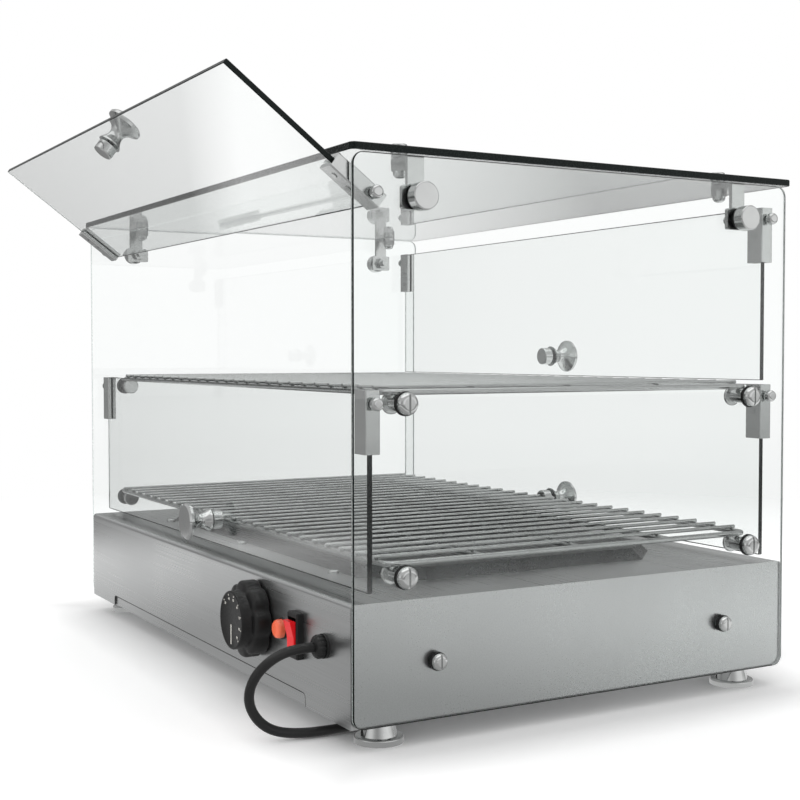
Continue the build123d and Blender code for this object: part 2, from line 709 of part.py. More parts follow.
flaps = (
    ("lower_front", -1, lower_pivot_z, 0.0),
    ("upper_front", -1, upper_pivot_z, upper_front_opening),
    ("lower_back", 1, lower_pivot_z, 0.0),
    ("upper_back", 1, upper_pivot_z, 0.0),
)
flap_low = pivot_drop - flap_height
hinge_middle = pivot_drop - hinge_length / 2
knob_y = flap_low + knob_rise
set_screw_points = [
    (end * (hinge_x - hinge_width / 2), pivot_drop - drop) for end in ends for drop in set_screw_drops
]
for name, side, pivot_z, opening in flaps:
    flap = flap_plane(side, pivot_z, opening)

    with BuildPart() as flap_glass:
        with BuildSketch(flap.offset(-glass / 2)):
            with Locations((0, flap_low)):
                Rectangle(2 * flap_half, flap_height, align=(Align.CENTER, Align.MIN))
        extrude(amount=glass)
        chamfer(flap_glass.edges(), length=glass_edge)
        with BuildSketch(flap.offset(-glass / 2)):
            with Locations((0, knob_y)):
                Circle(knob_stud / 2 + hole_clearance)
        extrude(amount=glass, mode=Mode.SUBTRACT)
    finish(flap_glass, f"{name}_glass")

    with BuildPart() as hinges:
        with BuildSketch(flap.offset(-hinge_depth / 2)):
            for end in ends:
                with Locations((end * (hinge_x - hinge_width / 2), hinge_middle)):
                    Rectangle(hinge_width, hinge_length)
        extrude(amount=hinge_depth)
        long_edges = hinges.edges().filter_by(lambda edge: abs(edge.length - hinge_length) < 0.01)
        fillet(long_edges, radius=hinge_fillet)
        with BuildSketch(flap.offset(-hinge_slot / 2)):
            with Locations((0, hinge_middle)):
                Rectangle(2 * (hinge_x - hinge_web), hinge_length + 2)
        extrude(amount=hinge_slot, mode=Mode.SUBTRACT)
        with BuildSketch(flap.offset(-hinge_depth)):
            with Locations(*set_screw_points):
                Circle(set_screw_diameter / 2)
        extrude(amount=hinge_depth, mode=Mode.SUBTRACT)
        with BuildSketch(Plane(origin=(-end_x, side * flap_y, pivot_z), z_dir=(1, 0, 0))):
            Circle(pin_diameter / 2 + pin_clearance)
        extrude(amount=case_width, mode=Mode.SUBTRACT)
    finish(hinges, f"{name}_hinges")

    with BuildPart() as set_screws:
        with BuildSketch(flap.offset(-hinge_depth / 2 - set_screw_proud)):
            with Locations(*set_screw_points):
                Circle(set_screw_diameter / 2)
        extrude(amount=hinge_depth / 2 + set_screw_proud - glass / 2)
    finish(set_screws, f"{name}_set_screws")

    with BuildPart() as knob:
        knob_base = flap.from_local_coords((0, knob_y, glass / 2))
        profile_plane = Plane(origin=knob_base, x_dir=flap.y_dir, z_dir=flap.x_dir)
        with BuildSketch(profile_plane):
            with BuildLine():
                foot_line = Line((0, 0), (knob_foot, 0))
                collar = Line(foot_line @ 1, (knob_foot - 0.6, knob_collar))
                flare_end = (knob_diameter / 2, knob_reach - knob_chamfer - knob_rim)
                waist = (knob_neck, knob_waist)
                Spline(collar @ 1, waist, flare_end, tangents=((-1, 1.4), (1, 0.35)))
                rim = Line(flare_end, (knob_diameter / 2, knob_reach - knob_chamfer))
                bevel = Line(rim @ 1, (knob_diameter / 2 - knob_chamfer, knob_reach))
                Polyline(bevel @ 1, (0, knob_reach), (0, 0))
            make_face()
        revolve(axis=Axis(profile_plane.origin, flap.z_dir), revolution_arc=360)
        with BuildSketch(flap.offset(glass / 2)):
            with Locations((0, knob_y)):
                Circle(knob_stud / 2)
        extrude(amount=-(glass + knob_nut_length - knob_nut_cap))
    finish(knob, f"{name}_knob")

    with BuildPart() as knob_nut:
        with BuildSketch(flap.offset(-glass / 2)):
            with Locations((0, knob_y)):
                Circle(knob_nut_diameter / 2)
        extrude(amount=-knob_nut_length)
        fillet(knob_nut.edges().filter_by(GeomType.CIRCLE), radius=knob_nut_fillet)
        with BuildSketch(flap.offset(-glass / 2)):
            with Locations((0, knob_y)):
                Circle(knob_stud / 2)
        extrude(amount=-(knob_nut_length - knob_nut_cap), mode=Mode.SUBTRACT)
    finish(knob_nut, f"{name}_knob_nut")

# ---- thermostat: body behind the front panel, shaft out through it, dial on the shaft --------------
dial_x = end_x - knob_from_end
panel_back = -face_y + sheet
dial_back = -face_y - dial_gap
with BuildPart() as thermostat:
    with BuildSketch(facing_front(dial_x, panel_back, control_z)):
        Rectangle(thermostat_size, thermostat_size)
    extrude(amount=-thermostat_depth)
    fillet(thermostat.edges().filter_by(Axis.Y), radius=thermostat_corner)
    with BuildSketch(facing_front(dial_x, panel_back, control_z)):
        Circle(shaft_diameter / 2 + bush_wall)
    extrude(amount=sheet)
    with BuildSketch(facing_front(dial_x, panel_back, control_z)):
        Circle(shaft_diameter / 2)
    extrude(amount=sheet + dial_gap + dial_depth - dial_cap - 1)
finish(thermostat, "thermostat")

with BuildPart() as dial:
    with BuildSketch(facing_front(dial_x, dial_back, control_z)):
        Circle(dial_skirt / 2)
        scallop_ring = dial_skirt / 2 + scallop_radius - scallop_depth
        with PolarLocations(scallop_ring, dial_scallops, start_angle=180 / dial_scallops):
            Circle(scallop_radius, mode=Mode.SUBTRACT)
    extrude(amount=dial_skirt_depth)
    with BuildSketch(facing_front(dial_x, dial_back, control_z)):
        Circle(dial_diameter / 2)
    extrude(amount=dial_depth)
    chamfer(dial.faces().sort_by(Axis.Y)[0].edges(), length=dial_chamfer)
    with BuildSketch(facing_front(dial_x, dial_back, control_z)):
        Circle(shaft_diameter / 2 + pin_clearance)
    extrude(amount=dial_depth - dial_cap, mode=Mode.SUBTRACT)
finish(dial, "thermostat_dial")

# Sensing bulb clipped under the deck behind the heater, with its capillary back to the thermostat.
bulb_diameter = 6.0
bulb_length = 80.0
bulb_y = deck_screw_y + 24
capillary = 2.0
capillary_bend = 5.0
capillary_rise = 6.0
bulb_z = under_deck - bulb_diameter / 2
bulb_end_x = end_x - 58
thermostat_tail = panel_back + thermostat_depth
capillary_lane = thermostat_tail + 14
bulb_near_end = bulb_end_x - 10
bulb_align = (Align.CENTER, Align.CENTER, Align.MAX)
with BuildPart() as sensing_bulb:
    with Locations((bulb_near_end, bulb_y, bulb_z)):
        Cylinder(bulb_diameter / 2, bulb_length, rotation=(0, 90, 0), align=bulb_align)
    with BuildLine() as capillary_path:
        FilletPolyline(
            (bulb_near_end - 4, bulb_y, bulb_z),
            (bulb_end_x + 6, bulb_y, bulb_z),
            (bulb_end_x + 6, capillary_lane, bulb_z),
            (dial_x, capillary_lane, bulb_z),
            (dial_x, capillary_lane, control_z + capillary_rise),
            (dial_x, thermostat_tail, control_z + capillary_rise),
            radius=capillary_bend,
        )
    with BuildSketch(Plane(origin=capillary_path.line @ 0, z_dir=capillary_path.line % 0)):
        Circle(capillary / 2)
    sweep()
finish(sensing_bulb, "sensing_bulb")

# ---- pilot lamp ----------------------------------------------------------------------------------
lamp_x = end_x - lamp_from_end
with BuildPart() as lamp_body:
    with BuildSketch(facing_front(lamp_x, -face_y, control_z)):
        Circle(lamp_diameter / 2)
    extrude(amount=lamp_bezel)
    with BuildSketch(facing_front(lamp_x, -face_y, control_z)):
        Circle(lamp_diameter / 2 - lamp_lip - lock_gap / 2)
    extrude(amount=-lamp_depth)
finish(lamp_body, "pilot_lamp_body")

with BuildPart() as lamp_lens:
    with BuildSketch(facing_front(lamp_x, -face_y - lamp_bezel, control_z)):
        Circle(lamp_diameter / 2 - lens_rim)
    extrude(amount=lens_reach)
    fillet(lamp_lens.edges().filter_by(GeomType.CIRCLE).sort_by(Axis.Y)[0], radius=lens_fillet)
finish(lamp_lens, "pilot_lamp_lens")

# ---- rocker switch: open-fronted housing with the rocker hung on a cross pin ------------------------
switch_x = end_x - switch_from_end
switch_face = -face_y - switch_proud
rocker_axis_y = switch_face + 4.0
rocker_pin = 3.0
rocker_tilt = 8.0
cavity_depth = 12.0
with BuildPart() as switch_housing:
    with BuildSketch(facing_front(switch_x, -face_y, control_z)):
        RectangleRounded(switch_width, switch_height, 1)
    extrude(amount=switch_proud)
    chamfer(switch_housing.faces().sort_by(Axis.Y)[0].edges(), length=switch_chamfer)
    with BuildSketch(facing_front(switch_x, -face_y, control_z)):
        body_lips = (switch_lip[0] + lock_gap, switch_lip[1] + lock_gap)
        Rectangle(switch_width - 2 * body_lips[0], switch_height - 2 * body_lips[1])
    extrude(amount=-switch_body_depth)
    with BuildSketch(facing_front(switch_x, switch_face, control_z)):
        Rectangle(rocker_width + 2 * rocker_gap, rocker_height + 4 * rocker_gap)
    extrude(amount=-cavity_depth, mode=Mode.SUBTRACT)
    with BuildSketch(facing_x(switch_x - switch_width / 2 + 1, rocker_axis_y, control_z)):
        Circle(rocker_pin / 2 - pin_clearance)
    extrude(amount=switch_width - 2)
finish(switch_housing, "switch_housing")

with BuildPart() as rocker:
    rocker_side = facing_x(switch_x - rocker_width / 2, rocker_axis_y, control_z)
    with BuildSketch(rocker_side.rotated((rocker_tilt, 0, 0))):
        Polygon(
            (4.5, -6), (4.5, 6), (-3.5, rocker_height / 2), (-6.5, rocker_height / 2),
            (-5.3, 0), (-6.5, -rocker_height / 2), (-3.5, -rocker_height / 2), align=None,
        )
        Circle(rocker_pin / 2, mode=Mode.SUBTRACT)
    extrude(amount=rocker_width)
finish(rocker, "switch_rocker")

# ---- cable gland: threaded body through the panel, its cap nut outside, its lock nut inside --------
gland_x = end_x - gland_from_end
gland_bore = cable_diameter + lock_gap
with BuildPart() as gland_body:
    with BuildSketch(facing_front(gland_x, -face_y, control_z)):
        Circle(gland_diameter / 2)
        Circle(gland_bore / 2, mode=Mode.SUBTRACT)
    extrude(amount=gland_flange)
    with BuildSketch(facing_front(gland_x, -face_y, control_z)):
        Circle(gland_thread / 2)
        Circle(gland_bore / 2, mode=Mode.SUBTRACT)
    extrude(amount=-gland_tail)
    with BuildSketch(facing_front(gland_x, panel_back, control_z)):
        RegularPolygon(gland_diameter / 2, 6, major_radius=False)
        Circle(gland_bore / 2, mode=Mode.SUBTRACT)
    extrude(amount=-gland_lock_nut)
finish(gland_body, "gland_body")

with BuildPart() as gland_nut:
    with BuildSketch(facing_front(gland_x, -face_y - gland_flange, control_z)):
        Circle(gland_diameter / 2 - gland_cap_step)
    extrude(amount=gland_reach - gland_flange)
    fillet(gland_nut.edges().filter_by(GeomType.CIRCLE).sort_by(Axis.Y)[0], radius=gland_fillet)
    with BuildSketch(facing_front(gland_x, -face_y, control_z)):
        Circle(gland_bore / 2)
    extrude(amount=gland_reach + 1, mode=Mode.SUBTRACT)
finish(gland_nut, "gland_nut")

# ---- terminal block and the wiring inside the base -------------------------------------------------
block_y = panel_back + 46
block_x = end_x - 40
block_floor = foot_height + sheet
block_size = (30.0, 22.0, 18.0)
block_top = block_floor + block_size[2]
way_pitch = 10.0
way_row = 6.0             # block's middle to each row of ways
way_depth = 3.0
with BuildPart() as terminal_block:
    with Locations((block_x, block_y, block_floor)):
        Box(*block_size, align=(Align.CENTER, Align.CENTER, Align.MIN))
    with Locations((block_x, block_y, block_top)):
        with GridLocations(way_pitch, 2 * way_row, 3, 2):
            Cylinder(2.5, 2 * way_depth, mode=Mode.SUBTRACT)
finish(terminal_block, "terminal_block")

wire_diameter = 2.4
wire_bend = 4.0
wire_end = block_top - way_depth
front_row = block_y - way_row
back_row = block_y + way_row
wires = (
    (
        (gland_x, -face_y + gland_tail, control_z),
        (gland_x, block_y - 18, control_z),
        (block_x, front_row, control_z - 8),
        (block_x, front_row, wire_end),
    ),
    (
        (switch_x, -face_y + switch_body_depth, control_z),
        (switch_x, block_y - 16, control_z),
        (block_x - way_pitch, front_row, control_z - 4),
        (block_x - way_pitch, front_row, wire_end),
    ),
    (
        (element_start + terminal_pin_length / 2, -lane, element_z),
        (element_start + 22, -lane, element_z),
        (block_x, block_y + 20, element_z - 8),
        (block_x, back_row, block_top + 12),
        (block_x, back_row, wire_end),
    ),
)
with BuildPart() as wiring:
    for wire_points in wires:
        with BuildLine() as wire_path:
            FilletPolyline(*wire_points, radius=wire_bend)
        with BuildSketch(Plane(origin=wire_path.line @ 0, z_dir=wire_path.line % 0)):
            Circle(wire_diameter / 2)
        sweep(path=wire_path.line)
finish(wiring, "inner_wiring")

# ---- power cable: out of the gland, down in a loop, under the base to a coil close behind it -------
cable_start = (gland_x, -face_y - gland_reach, control_z)
cable_route = [
    cable_start,
    (234.3, -203.4, 61.4),
    (233.2, -217.8, 56.2),
    (228.3, -227.9, 44.4),
    (222.9, -229.3, 29.1),
    (220.4, -221.8, 15.0),
    (221.2, -209.7, 6.2),
    (224.3, -190.4, 3.4),
    (226.1, -163.3, 3.8),
    (221.0, -124.0, 3.4),
    (208.0, -72.0, 3.4),
    (198.0, -8.0, 3.4),
    (200.0, 60.0, 3.4),
    (206.0, 118.0, 3.4),
    (203.0, 160.0, 3.4),
    (197.0, 188.0, 3.4),
    (194.5, 210.0, 3.5),
]


def corner_radii(points):
    """The largest arc that each corner's two runs allow, 0.45 of the shorter run each side."""
    radii = []
    for before, here, after in zip(points, points[1:], points[2:]):
        run_in = Vector(*here) - Vector(*before)
        run_out = Vector(*after) - Vector(*here)
        half_turn = radians(run_in.get_angle(run_out)) / 2
        radii.append(0.45 * min(run_in.length, run_out.length) / tan(half_turn))
    return radii


cable_radii = corner_radii(cable_route)
print("cable radii", [round(r, 1) for r in cable_radii])
with BuildPart() as power_cable:
    with BuildLine() as cable_path:
        FilletPolyline(*cable_route, radius=cable_radii)
    with BuildSketch(Plane(origin=cable_path.line @ 0, z_dir=cable_path.line % 0)):
        Circle(cable_diameter / 2)
    sweep()
finish(power_cable, "power_cable")
cable_length = sum(edge.length for edge in cable_path.edges())
cable_volume = pi * cable_diameter**2 / 4 * cable_length
print("cable", round(cable_length, 1), round(power_cable.part.volume / cable_volume, 4))

coil_mean = 33.0
coil_turns = 5.25
coil_layers = 3
coil_band = 3 * cable_diameter
coil_height = cable_diameter * (1 + 0.96 * (coil_layers - 1))
coil_fillet = 2.5
coil_centre = (158.0, 230.0, 0.0)
with BuildPart() as coil:
    with BuildSketch(Plane.XY):
        with Locations(coil_centre[:2]):
            Circle(coil_mean + coil_band / 2)
            Circle(coil_mean - coil_band / 2, mode=Mode.SUBTRACT)
    extrude(amount=coil_height)
    fillet(coil.edges().filter_by(GeomType.CIRCLE), radius=coil_fillet)
finish(coil, "cable_coil")
print("cable length", round(cable_length + coil_turns * 2 * pi * coil_mean, 1))

# Plug: strain relief against the coil, moulded body, two flat blades and a round earth pin.
plug_relief = 24.0
relief_radii = (5.0, 7.0)
plug_body = 28.0
plug_half = 13.5
plug_neck = 24.0          # across the body where the relief meets it
plug_corners = (6.0, 5.0)
blade = (1.6, 6.4)
blade_pitch = 12.7
blade_rise = 3.0
earth_pin = 4.8
earth_drop = 8.0
pin_length = 17.0
plug_start = (coil_centre[0] - 24.0, coil_centre[1] + coil_mean + 3, plug_half)
plug_face = Plane(origin=plug_start, x_dir=(0, 1, 0), z_dir=(-1, 0, 0))
with BuildPart() as plug:
    with BuildSketch(plug_face):
        Circle(relief_radii[0])
    with BuildSketch(plug_face.offset(plug_relief)):
        Circle(relief_radii[1])
    loft()
    with BuildSketch(plug_face.offset(plug_relief)):
        RectangleRounded(plug_neck, plug_neck, plug_corners[0])
    with BuildSketch(plug_face.offset(plug_relief + plug_body)):
        RectangleRounded(2 * plug_half, 2 * plug_half, plug_corners[1])
    loft()
    with BuildSketch(plug_face.offset(plug_relief + plug_body)):
        with Locations((-blade_pitch / 2, blade_rise), (blade_pitch / 2, blade_rise)):
            Rectangle(*blade)
        with Locations((0, -earth_drop)):
            Circle(earth_pin / 2)
    extrude(amount=pin_length)
finish(plug, "power_plug")
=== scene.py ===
import json
import math

import bpy
import bmesh
from mathutils import Matrix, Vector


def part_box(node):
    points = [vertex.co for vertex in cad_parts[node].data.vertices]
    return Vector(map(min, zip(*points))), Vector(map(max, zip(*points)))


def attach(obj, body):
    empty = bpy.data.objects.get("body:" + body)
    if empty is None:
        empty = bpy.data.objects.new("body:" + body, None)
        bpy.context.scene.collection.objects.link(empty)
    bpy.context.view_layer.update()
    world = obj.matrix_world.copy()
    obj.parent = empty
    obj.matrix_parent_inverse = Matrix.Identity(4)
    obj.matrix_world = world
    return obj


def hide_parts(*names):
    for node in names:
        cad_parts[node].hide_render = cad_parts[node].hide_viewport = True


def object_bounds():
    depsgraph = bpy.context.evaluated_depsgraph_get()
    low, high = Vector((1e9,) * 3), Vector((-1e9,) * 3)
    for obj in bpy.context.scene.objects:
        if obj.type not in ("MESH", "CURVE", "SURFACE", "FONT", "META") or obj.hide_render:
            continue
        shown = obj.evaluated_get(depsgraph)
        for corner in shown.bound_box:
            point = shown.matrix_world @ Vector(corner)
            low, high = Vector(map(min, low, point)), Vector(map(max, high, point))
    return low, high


# Looks of a two-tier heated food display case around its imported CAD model. Metres, in the CAD frame.

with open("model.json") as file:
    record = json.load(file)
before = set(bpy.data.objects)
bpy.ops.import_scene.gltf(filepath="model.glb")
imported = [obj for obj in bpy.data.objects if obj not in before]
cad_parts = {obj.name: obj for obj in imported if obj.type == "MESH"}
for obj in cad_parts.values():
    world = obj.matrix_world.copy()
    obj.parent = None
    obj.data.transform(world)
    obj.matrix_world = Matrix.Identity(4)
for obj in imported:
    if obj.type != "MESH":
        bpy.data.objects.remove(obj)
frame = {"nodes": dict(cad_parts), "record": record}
cad_low, cad_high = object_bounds()
nodes = frame["nodes"]
scene = bpy.context.scene

body_of_node = {}
for body, members in frame["record"]["behaviour"]["bodies"].items():
    for node in members:
        body_of_node[node] = body
slot_of = {part["node"]: part["material_slot"] for part in frame["record"]["subparts"]}


# ---- camera: the photograph's viewpoint ------------------------------------------------------------
CAMERA_PLACE = (0.98914, -0.55363, 0.24730)
CAMERA_YAW = 60.43
CAMERA_DOWN = 1.979
CAMERA_LENS = 59.63


def add_camera():
    data = bpy.data.cameras.new("camera")
    data.sensor_width = 36.0
    data.lens = CAMERA_LENS
    data.clip_start = 0.02
    data.clip_end = 50.0
    camera = bpy.data.objects.new("camera", data)
    camera.location = CAMERA_PLACE
    camera.rotation_euler = (math.radians(90 - CAMERA_DOWN), 0, math.radians(CAMERA_YAW))
    scene.collection.objects.link(camera)
    scene.camera = camera


add_camera()


# ---- node helpers ------------------------------------------------------------------------------------
COLOUR_A, COLOUR_B, COLOUR_RESULT = 6, 7, 2     # sockets of a Mix node that mixes colours
NUMBER_A, NUMBER_B = 2, 3                       # and of one that mixes numbers
NOISE_LOW, NOISE_HIGH = 0.3, 0.7                # nearly all of a noise texture lies between these


class Nodes:
    """A node tree, with short calls for the nodes that a material or the world needs."""

    def __init__(self, tree):
        self.tree = tree

    def node(self, kind, **values):
        made = self.tree.nodes.new(kind)
        for key, value in values.items():
            setattr(made, key, value)
        return made

    def link(self, source, target):
        self.tree.links.new(source, target)

    def connect(self, value, socket):
        """Link a socket to an input, or set the input to a number or a vector."""
        if isinstance(value, bpy.types.NodeSocket):
            self.link(value, socket)
        else:
            socket.default_value = value

    def maths(self, operation, *values):
        made = self.node("ShaderNodeMath", operation=operation)
        for value, socket in zip(values, made.inputs):
            self.connect(value, socket)
        return made.outputs[0]

    def vector_maths(self, operation, *values):
        made = self.node("ShaderNodeVectorMath", operation=operation)
        for value, socket in zip(values, made.inputs):
            self.connect(value, socket)
        return made.outputs["Vector" if operation == "NORMALIZE" else "Value"]

    def mix_colours(self, share, low, high):
        mix = self.node("ShaderNodeMix", data_type="RGBA")
        self.connect(share, mix.inputs[0])
        self.connect(low, mix.inputs[COLOUR_A])
        self.connect(high, mix.inputs[COLOUR_B])
        return mix.outputs[COLOUR_RESULT]

    def ramp(self, source, low, high, start=0.0, end=1.0):
        """Map a value from start..end onto low..high, which may be numbers or colours."""
        span = self.node("ShaderNodeMapRange")
        span.inputs["From Min"].default_value = start
        span.inputs["From Max"].default_value = end
        self.link(source, span.inputs["Value"])
        if isinstance(low, (int, float)):
            span.inputs["To Min"].default_value = low
            span.inputs["To Max"].default_value = high
            return span.outputs["Result"]
        return self.mix_colours(span.outputs["Result"], (*low, 1), (*high, 1))

    def mirrored_ray(self):
        """1 for a ray that has bounced off a glossy surface, else 0."""
        path = self.node("ShaderNodeLightPath")
        return self.maths("GREATER_THAN", path.outputs["Glossy Depth"], 0.5)


class Shader(Nodes):
    """A material with a Principled shader."""

    def __init__(self, name, **inputs):
        self.material = bpy.data.materials.new(name)
        self.material.use_nodes = True
        super().__init__(self.material.node_tree)
        self.bsdf = self.tree.nodes["Principled BSDF"]
        for key, value in inputs.items():
            self.bsdf.inputs[key.replace("_", " ")].default_value = value

    def place(self, scale=(1, 1, 1)):
        """Object coordinates, scaled along each axis."""
        coordinates = self.node("ShaderNodeTexCoord")
        mapping = self.node("ShaderNodeMapping")
        mapping.inputs["Scale"].default_value = scale
        self.link(coordinates.outputs["Object"], mapping.inputs["Vector"])
        return mapping.outputs["Vector"]

    def noise(self, scale, detail=4.0, roughness=0.5, stretch=(1, 1, 1)):
        texture = self.node("ShaderNodeTexNoise")
        texture.inputs["Scale"].default_value = scale
        texture.inputs["Detail"].default_value = detail
        texture.inputs["Roughness"].default_value = roughness
        self.link(self.place(stretch), texture.inputs["Vector"])
        return texture.outputs["Fac"]

    def spread(self, noise, low, high):
        """Map a noise texture's usual range onto low..high."""
        return self.ramp(noise, low, high, NOISE_LOW, NOISE_HIGH)

    def feed(self, source, socket):
        self.link(source, self.bsdf.inputs[socket])

    def bump(self, height, strength, distance):
        bump = self.node("ShaderNodeBump")
        bump.inputs["Strength"].default_value = strength
        bump.inputs["Distance"].default_value = distance
        self.link(height, bump.inputs["Height"])
        self.feed(bump.outputs["Normal"], "Normal")


# ---- materials ---------------------------------------------------------------------------------------
GRIND_ACROSS = 900.0      # grinding lines to the metre, across them
GRIND_ALONG = 4.0         # and along them


def brushed_steel(name, colour, roughness, along):
    """Satin steel with fine grinding lines that run along one axis."""
    shader = Shader(name, Metallic=1.0, Anisotropic=0.35)
    stretch = [GRIND_ALONG if axis == along else GRIND_ACROSS for axis in "XYZ"]
    lines = shader.noise(1.0, 3.0, 0.6, stretch)
    cloud = shader.noise(9.0, 3.0)
    dark = tuple(0.94 * c for c in colour)
    bright = tuple(min(1.0, 1.05 * c) for c in colour)
    shader.feed(shader.spread(lines, dark, bright), "Base Color")
    streaks = shader.spread(lines, -0.04, 0.04)
    patches = shader.spread(cloud, roughness - 0.03, roughness + 0.03)
    shader.feed(shader.maths("ADD", streaks, patches), "Roughness")
    shader.bump(lines, 0.05, 0.0002)
    return shader.material


def polished_steel(name, colour, roughness):
    """Drawn or turned steel with a bright finish and faint handling marks."""
    shader = Shader(name, Metallic=1.0)
    cloud = shader.noise(60.0, 5.0, 0.6)
    scratches = shader.noise(420.0, 4.0, 0.7)
    dark = tuple(0.92 * c for c in colour)
    shader.feed(shader.spread(cloud, dark, colour), "Base Color")
    shader.feed(shader.spread(scratches, roughness * 0.8, roughness * 1.3), "Roughness")
    shader.bump(scratches, 0.012, 0.0001)
    return shader.material


def clear_glass(name):
    """Toughened glass: clear, with the faintest green cast."""
    shader = Shader(name, Transmission_Weight=1.0, Roughness=0.0, IOR=1.5)
    cloud = shader.noise(3.0, 2.0)
    shader.feed(shader.spread(cloud, (0.965, 0.983, 0.977), (0.978, 0.990, 0.986)), "Base Color")
    return shader.material


def ground_edge(name, dark, light, **inputs):
    """The ground and polished rim of a glass sheet, in a painted colour that stands for the shade or light
    seen on it.
    """
    shader = Shader(name, **inputs)
    grind = shader.noise(900.0, 3.0, 0.6)
    shader.feed(shader.spread(grind, dark, light), "Base Color")
    shader.feed(shader.spread(grind, 0.18, 0.34), "Roughness")
    shader.bump(grind, 0.1, 0.0001)
    return shader.material


def moulded(name, dark, light, roughness, grain=700.0, relief=0.12, **inputs):
    """Moulded plastic or rubber with a fine grain."""
    shader = Shader(name, **inputs)
    fine = shader.noise(grain, 4.0, 0.6)
    cloud = shader.noise(25.0, 3.0)
    shader.feed(shader.spread(cloud, dark, light), "Base Color")
    shader.feed(shader.spread(fine, roughness - 0.06, roughness + 0.06), "Roughness")
    shader.bump(fine, relief, 0.0003)
    return shader.material


materials = {
    "brushed_stainless": brushed_steel("brushed_stainless", (0.60, 0.61, 0.61), 0.30, "X"),
    "dark_steel": brushed_steel("dark_steel", (0.050, 0.054, 0.053), 0.28, "X"),
    "aluminised_sheet": brushed_steel("aluminised_sheet", (0.82, 0.82, 0.81), 0.45, "X"),
    "polished_steel": polished_steel("polished_steel", (0.62, 0.63, 0.625), 0.09),
    "zinc_steel": polished_steel("zinc_steel", (0.58, 0.58, 0.56), 0.32),
    "heater_sheath": polished_steel("heater_sheath", (0.20, 0.17, 0.15), 0.5),
    "clear_glass": clear_glass("clear_glass"),
    "black_rubber": moulded("black_rubber", (0.008, 0.008, 0.008), (0.016, 0.016, 0.016), 0.6),
    "copper": polished_steel("copper", (0.80, 0.45, 0.32), 0.28),
    "black_plastic": moulded(
        "black_plastic", (0.006, 0.006, 0.006), (0.011, 0.011, 0.011), 0.40, Specular_IOR_Level=0.4
    ),
    "amber_lens": moulded("amber_lens", (0.9, 0.13, 0.06), (1.0, 0.20, 0.10), 0.14, 300.0, 0.02),
    "red_plastic": moulded("red_plastic", (0.78, 0.005, 0.010), (0.90, 0.012, 0.018), 0.18, 300.0, 0.03),
    "white_ceramic": moulded("white_ceramic", (0.72, 0.70, 0.64), (0.8, 0.78, 0.73), 0.25),
    "wire_sleeve": moulded("wire_sleeve", (0.35, 0.05, 0.03), (0.5, 0.09, 0.05), 0.5),
    "cable_rubber": moulded(
        "cable_rubber", (0.007, 0.007, 0.007), (0.013, 0.013, 0.013), 0.36, Specular_IOR_Level=0.45
    ),
}
satin_steel = polished_steel("satin_steel", (0.64, 0.65, 0.645), 0.20)
wire_steel = polished_steel("wire_steel", (0.47, 0.48, 0.475), 0.12)
# Painted shade: a near-black rim where glass edges are seen dark; painted light: a pale, half clear rim
# where they are seen bright.
painted_shade_edge = ground_edge(
    "glass_edge_painted_shade", (0.002, 0.004, 0.004), (0.008, 0.012, 0.011), Specular_IOR_Level=0.15
)
painted_light_edge = ground_edge(
    "glass_edge_painted_light", (0.80, 0.88, 0.86), (0.88, 0.94, 0.92), Transmission_Weight=0.5
)


SATIN_NODES = ("roof_brackets", "acorn_nuts", "bracket_nuts", "deck_screws")
WIRE_NODES = ("lower_rack", "upper_rack")


def finish_of(node):
    """The material of a node's slot, or the satin of folded and milled parts, or the racks' drawn wire."""
    if node in SATIN_NODES or node.endswith("_hinges"):
        return satin_steel
    return wire_steel if node in WIRE_NODES else materials[slot_of[node]]


for node, thing in nodes.items():
    thing.data.materials.clear()
    thing.data.materials.append(finish_of(node))


def new_piece(name, mesh, body, slot, replaced=()):
    """Link a mesh as a piece that rides on a body and may stand for CAD nodes."""
    if not mesh.materials:
        mesh.materials.append(materials[slot])
    piece = bpy.data.objects.new(name, mesh)
    scene.collection.objects.link(piece)
    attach(piece, body)
    if replaced:
        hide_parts(*replaced)


# ---- power cable ---------------------------------------------------------------------------------------
CABLE_DIAMETER = 0.0065
CABLE_ROUTE = [
    (0.2340, -0.1885, 0.0610),
    (0.2343, -0.2034, 0.0614),
    (0.2332, -0.2178, 0.0562),
    (0.2283, -0.2279, 0.0444),
    (0.2229, -0.2293, 0.0291),
    (0.2204, -0.2218, 0.0150),
    (0.2212, -0.2097, 0.0062),
    (0.2243, -0.1904, 0.0034),
    (0.2261, -0.1633, 0.0038),
    (0.2210, -0.1240, 0.0034),
    (0.2080, -0.0720, 0.0034),
    (0.1980, -0.0080, 0.0034),
    (0.2000, 0.0600, 0.0034),
    (0.2060, 0.1180, 0.0034),
    (0.2030, 0.1600, 0.0034),
    (0.1990, 0.1880, 0.0034),
]
COIL_CENTRE = (0.158, 0.230)
COIL_OUTER = 0.0395       # middle of the outermost turn
COIL_INNER = 0.0265
COIL_LAYER = 0.96 * CABLE_DIAMETER
POINTS_PER_TURN = 14
PLUG_SIDE = 0.0360        # the last quarter turn runs out level with the plug's strain relief
PLUG_AXIS = 0.0135        # the relief's height over the floor
PLUG_REACH = (0.014, 0.026)   # the coil's middle to the last two points, which lead into the relief
PLUG_DIP = 0.0010         # how far the first of them lies under the top turn
COIL_WINDS = ((2.0, COIL_OUTER, COIL_INNER), (2.0, COIL_INNER, COIL_OUTER), (1.25, COIL_OUTER, PLUG_SIDE))
CLIMB_STEPS = 5           # points on the way from one layer up to the next


